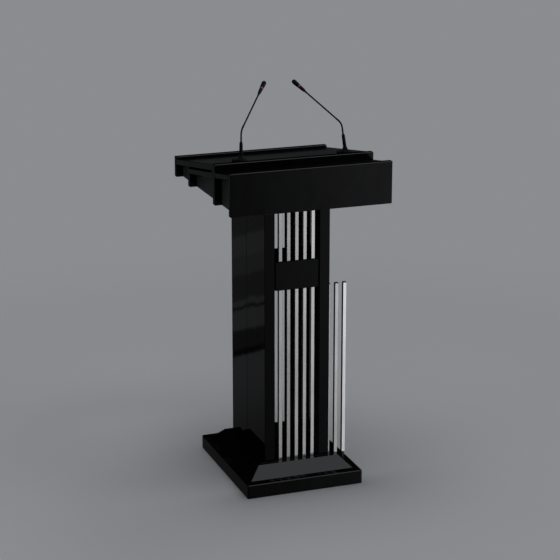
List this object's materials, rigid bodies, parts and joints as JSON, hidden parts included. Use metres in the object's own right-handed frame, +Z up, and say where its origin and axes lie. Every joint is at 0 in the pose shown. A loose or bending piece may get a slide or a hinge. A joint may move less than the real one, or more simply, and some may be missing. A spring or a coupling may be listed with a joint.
{
  "type": "lectern stand",
  "caption": "Standing lectern in black gloss lacquer: sloping desk with pen tray and book stop on an open column with polished metal bars, sloped plinth, and bendable gooseneck microphones.",
  "frame": {"origin": "centre of the base slab's underside, on the floor", "axes": "+Z up, -Y towards the audience (front panel), +Y towards the speaker, +X to the right as the audience sees it"},
  "size_m": [0.5644, 0.6134, 1.3789],
  "materials": {
    "black_lacquer": "high-gloss black lacquer",
    "polished_bar": "polished",
    "mic_metal": "satin black",
    "mic_plastic": "matt black",
    "mic_light": "clear red"
  },
  "bodies": {
    "stand": {"base_slab": "black_lacquer", "plinth_skirt_front": "black_lacquer", "plinth_skirt_right": "black_lacquer", "plinth_skirt_rear": "black_lacquer", "plinth_skirt_left": "black_lacquer", "plinth_core": "black_lacquer", "column_panel_left_front": "black_lacquer", "column_panel_left_rear": "black_lacquer", "column_panel_right_front": "black_lacquer", "column_panel_right_rear": "black_lacquer", "shelf_front_board": "black_lacquer", "shelf_top_board": "black_lacquer", "shelf_bottom_board": "black_lacquer", "desk_front_panel": "black_lacquer", "desk_ridge_board": "black_lacquer", "desk_middle_board": "black_lacquer", "desk_rear_board": "black_lacquer", "reading_board": "black_lacquer", "inner_board": "black_lacquer", "pen_tray_board": "black_lacquer", "spacer_strip_front": "black_lacquer", "spacer_strip_rear": "black_lacquer", "desk_side_left_front": "black_lacquer", "desk_side_right_front": "black_lacquer", "desk_side_left_middle": "black_lacquer", "desk_side_right_middle": "black_lacquer", "desk_side_left_rear": "black_lacquer", "desk_side_right_rear": "black_lacquer", "desk_floor_front": "black_lacquer", "desk_floor_middle": "black_lacquer", "desk_floor_rear": "black_lacquer", "upper_bar_1": "polished_bar", "upper_bar_2": "polished_bar", "upper_bar_3": "polished_bar", "upper_bar_4": "polished_bar", "upper_bar_5": "polished_bar", "lower_bar_1": "polished_bar", "lower_bar_2": "polished_bar", "lower_bar_3": "polished_bar", "lower_bar_4": "polished_bar", "lower_bar_5": "polished_bar", "outer_bar_1": "polished_bar", "outer_bar_2": "polished_bar", "outer_bar_3": "polished_bar", "mic_left_foot": "mic_metal", "mic_left_collar": "mic_metal", "mic_right_foot": "mic_metal", "mic_right_collar": "mic_metal"},
    "mic_left_stem": {"mic_left_stem": "mic_metal", "mic_left_neck": "mic_metal"},
    "mic_left_head": {"mic_left_arm": "mic_metal", "mic_left_body": "mic_plastic", "mic_left_light_ring": "mic_light", "mic_left_grille": "mic_plastic"},
    "mic_right_stem": {"mic_right_stem": "mic_metal", "mic_right_neck": "mic_metal"},
    "mic_right_head": {"mic_right_arm": "mic_metal", "mic_right_body": "mic_plastic", "mic_right_light_ring": "mic_light", "mic_right_grille": "mic_plastic"}
  },
  "joints": [
    {"name": "mic_left_swivel", "type": "hinge", "parent": "stand", "child": "mic_left_stem", "pos_m": [-0.1665, -0.075, 1.13819], "axis": [0.0496, 0.1092, 0.9928], "range_deg": [0, 100]},
    {"name": "mic_left_bend", "type": "hinge", "parent": "mic_left_stem", "child": "mic_left_head", "pos_m": [-0.16149, -0.06397, 1.23846], "axis": [-0.6521, 0.7565, -0.0506], "range_deg": [-43, 45], "deforming": ["mic_left_neck"]},
    {"name": "mic_right_swivel", "type": "hinge", "parent": "stand", "child": "mic_right_stem", "pos_m": [0.2083, -0.075, 1.13819], "axis": [-0.1067, 0.1087, 0.9883], "range_deg": [-100, 0]},
    {"name": "mic_right_bend", "type": "hinge", "parent": "mic_right_stem", "child": "mic_right_head", "pos_m": [0.19752, -0.06402, 1.23801], "axis": [-0.6617, -0.7497, 0.011], "range_deg": [-43, 45], "deforming": ["mic_right_neck"]}
  ]
}
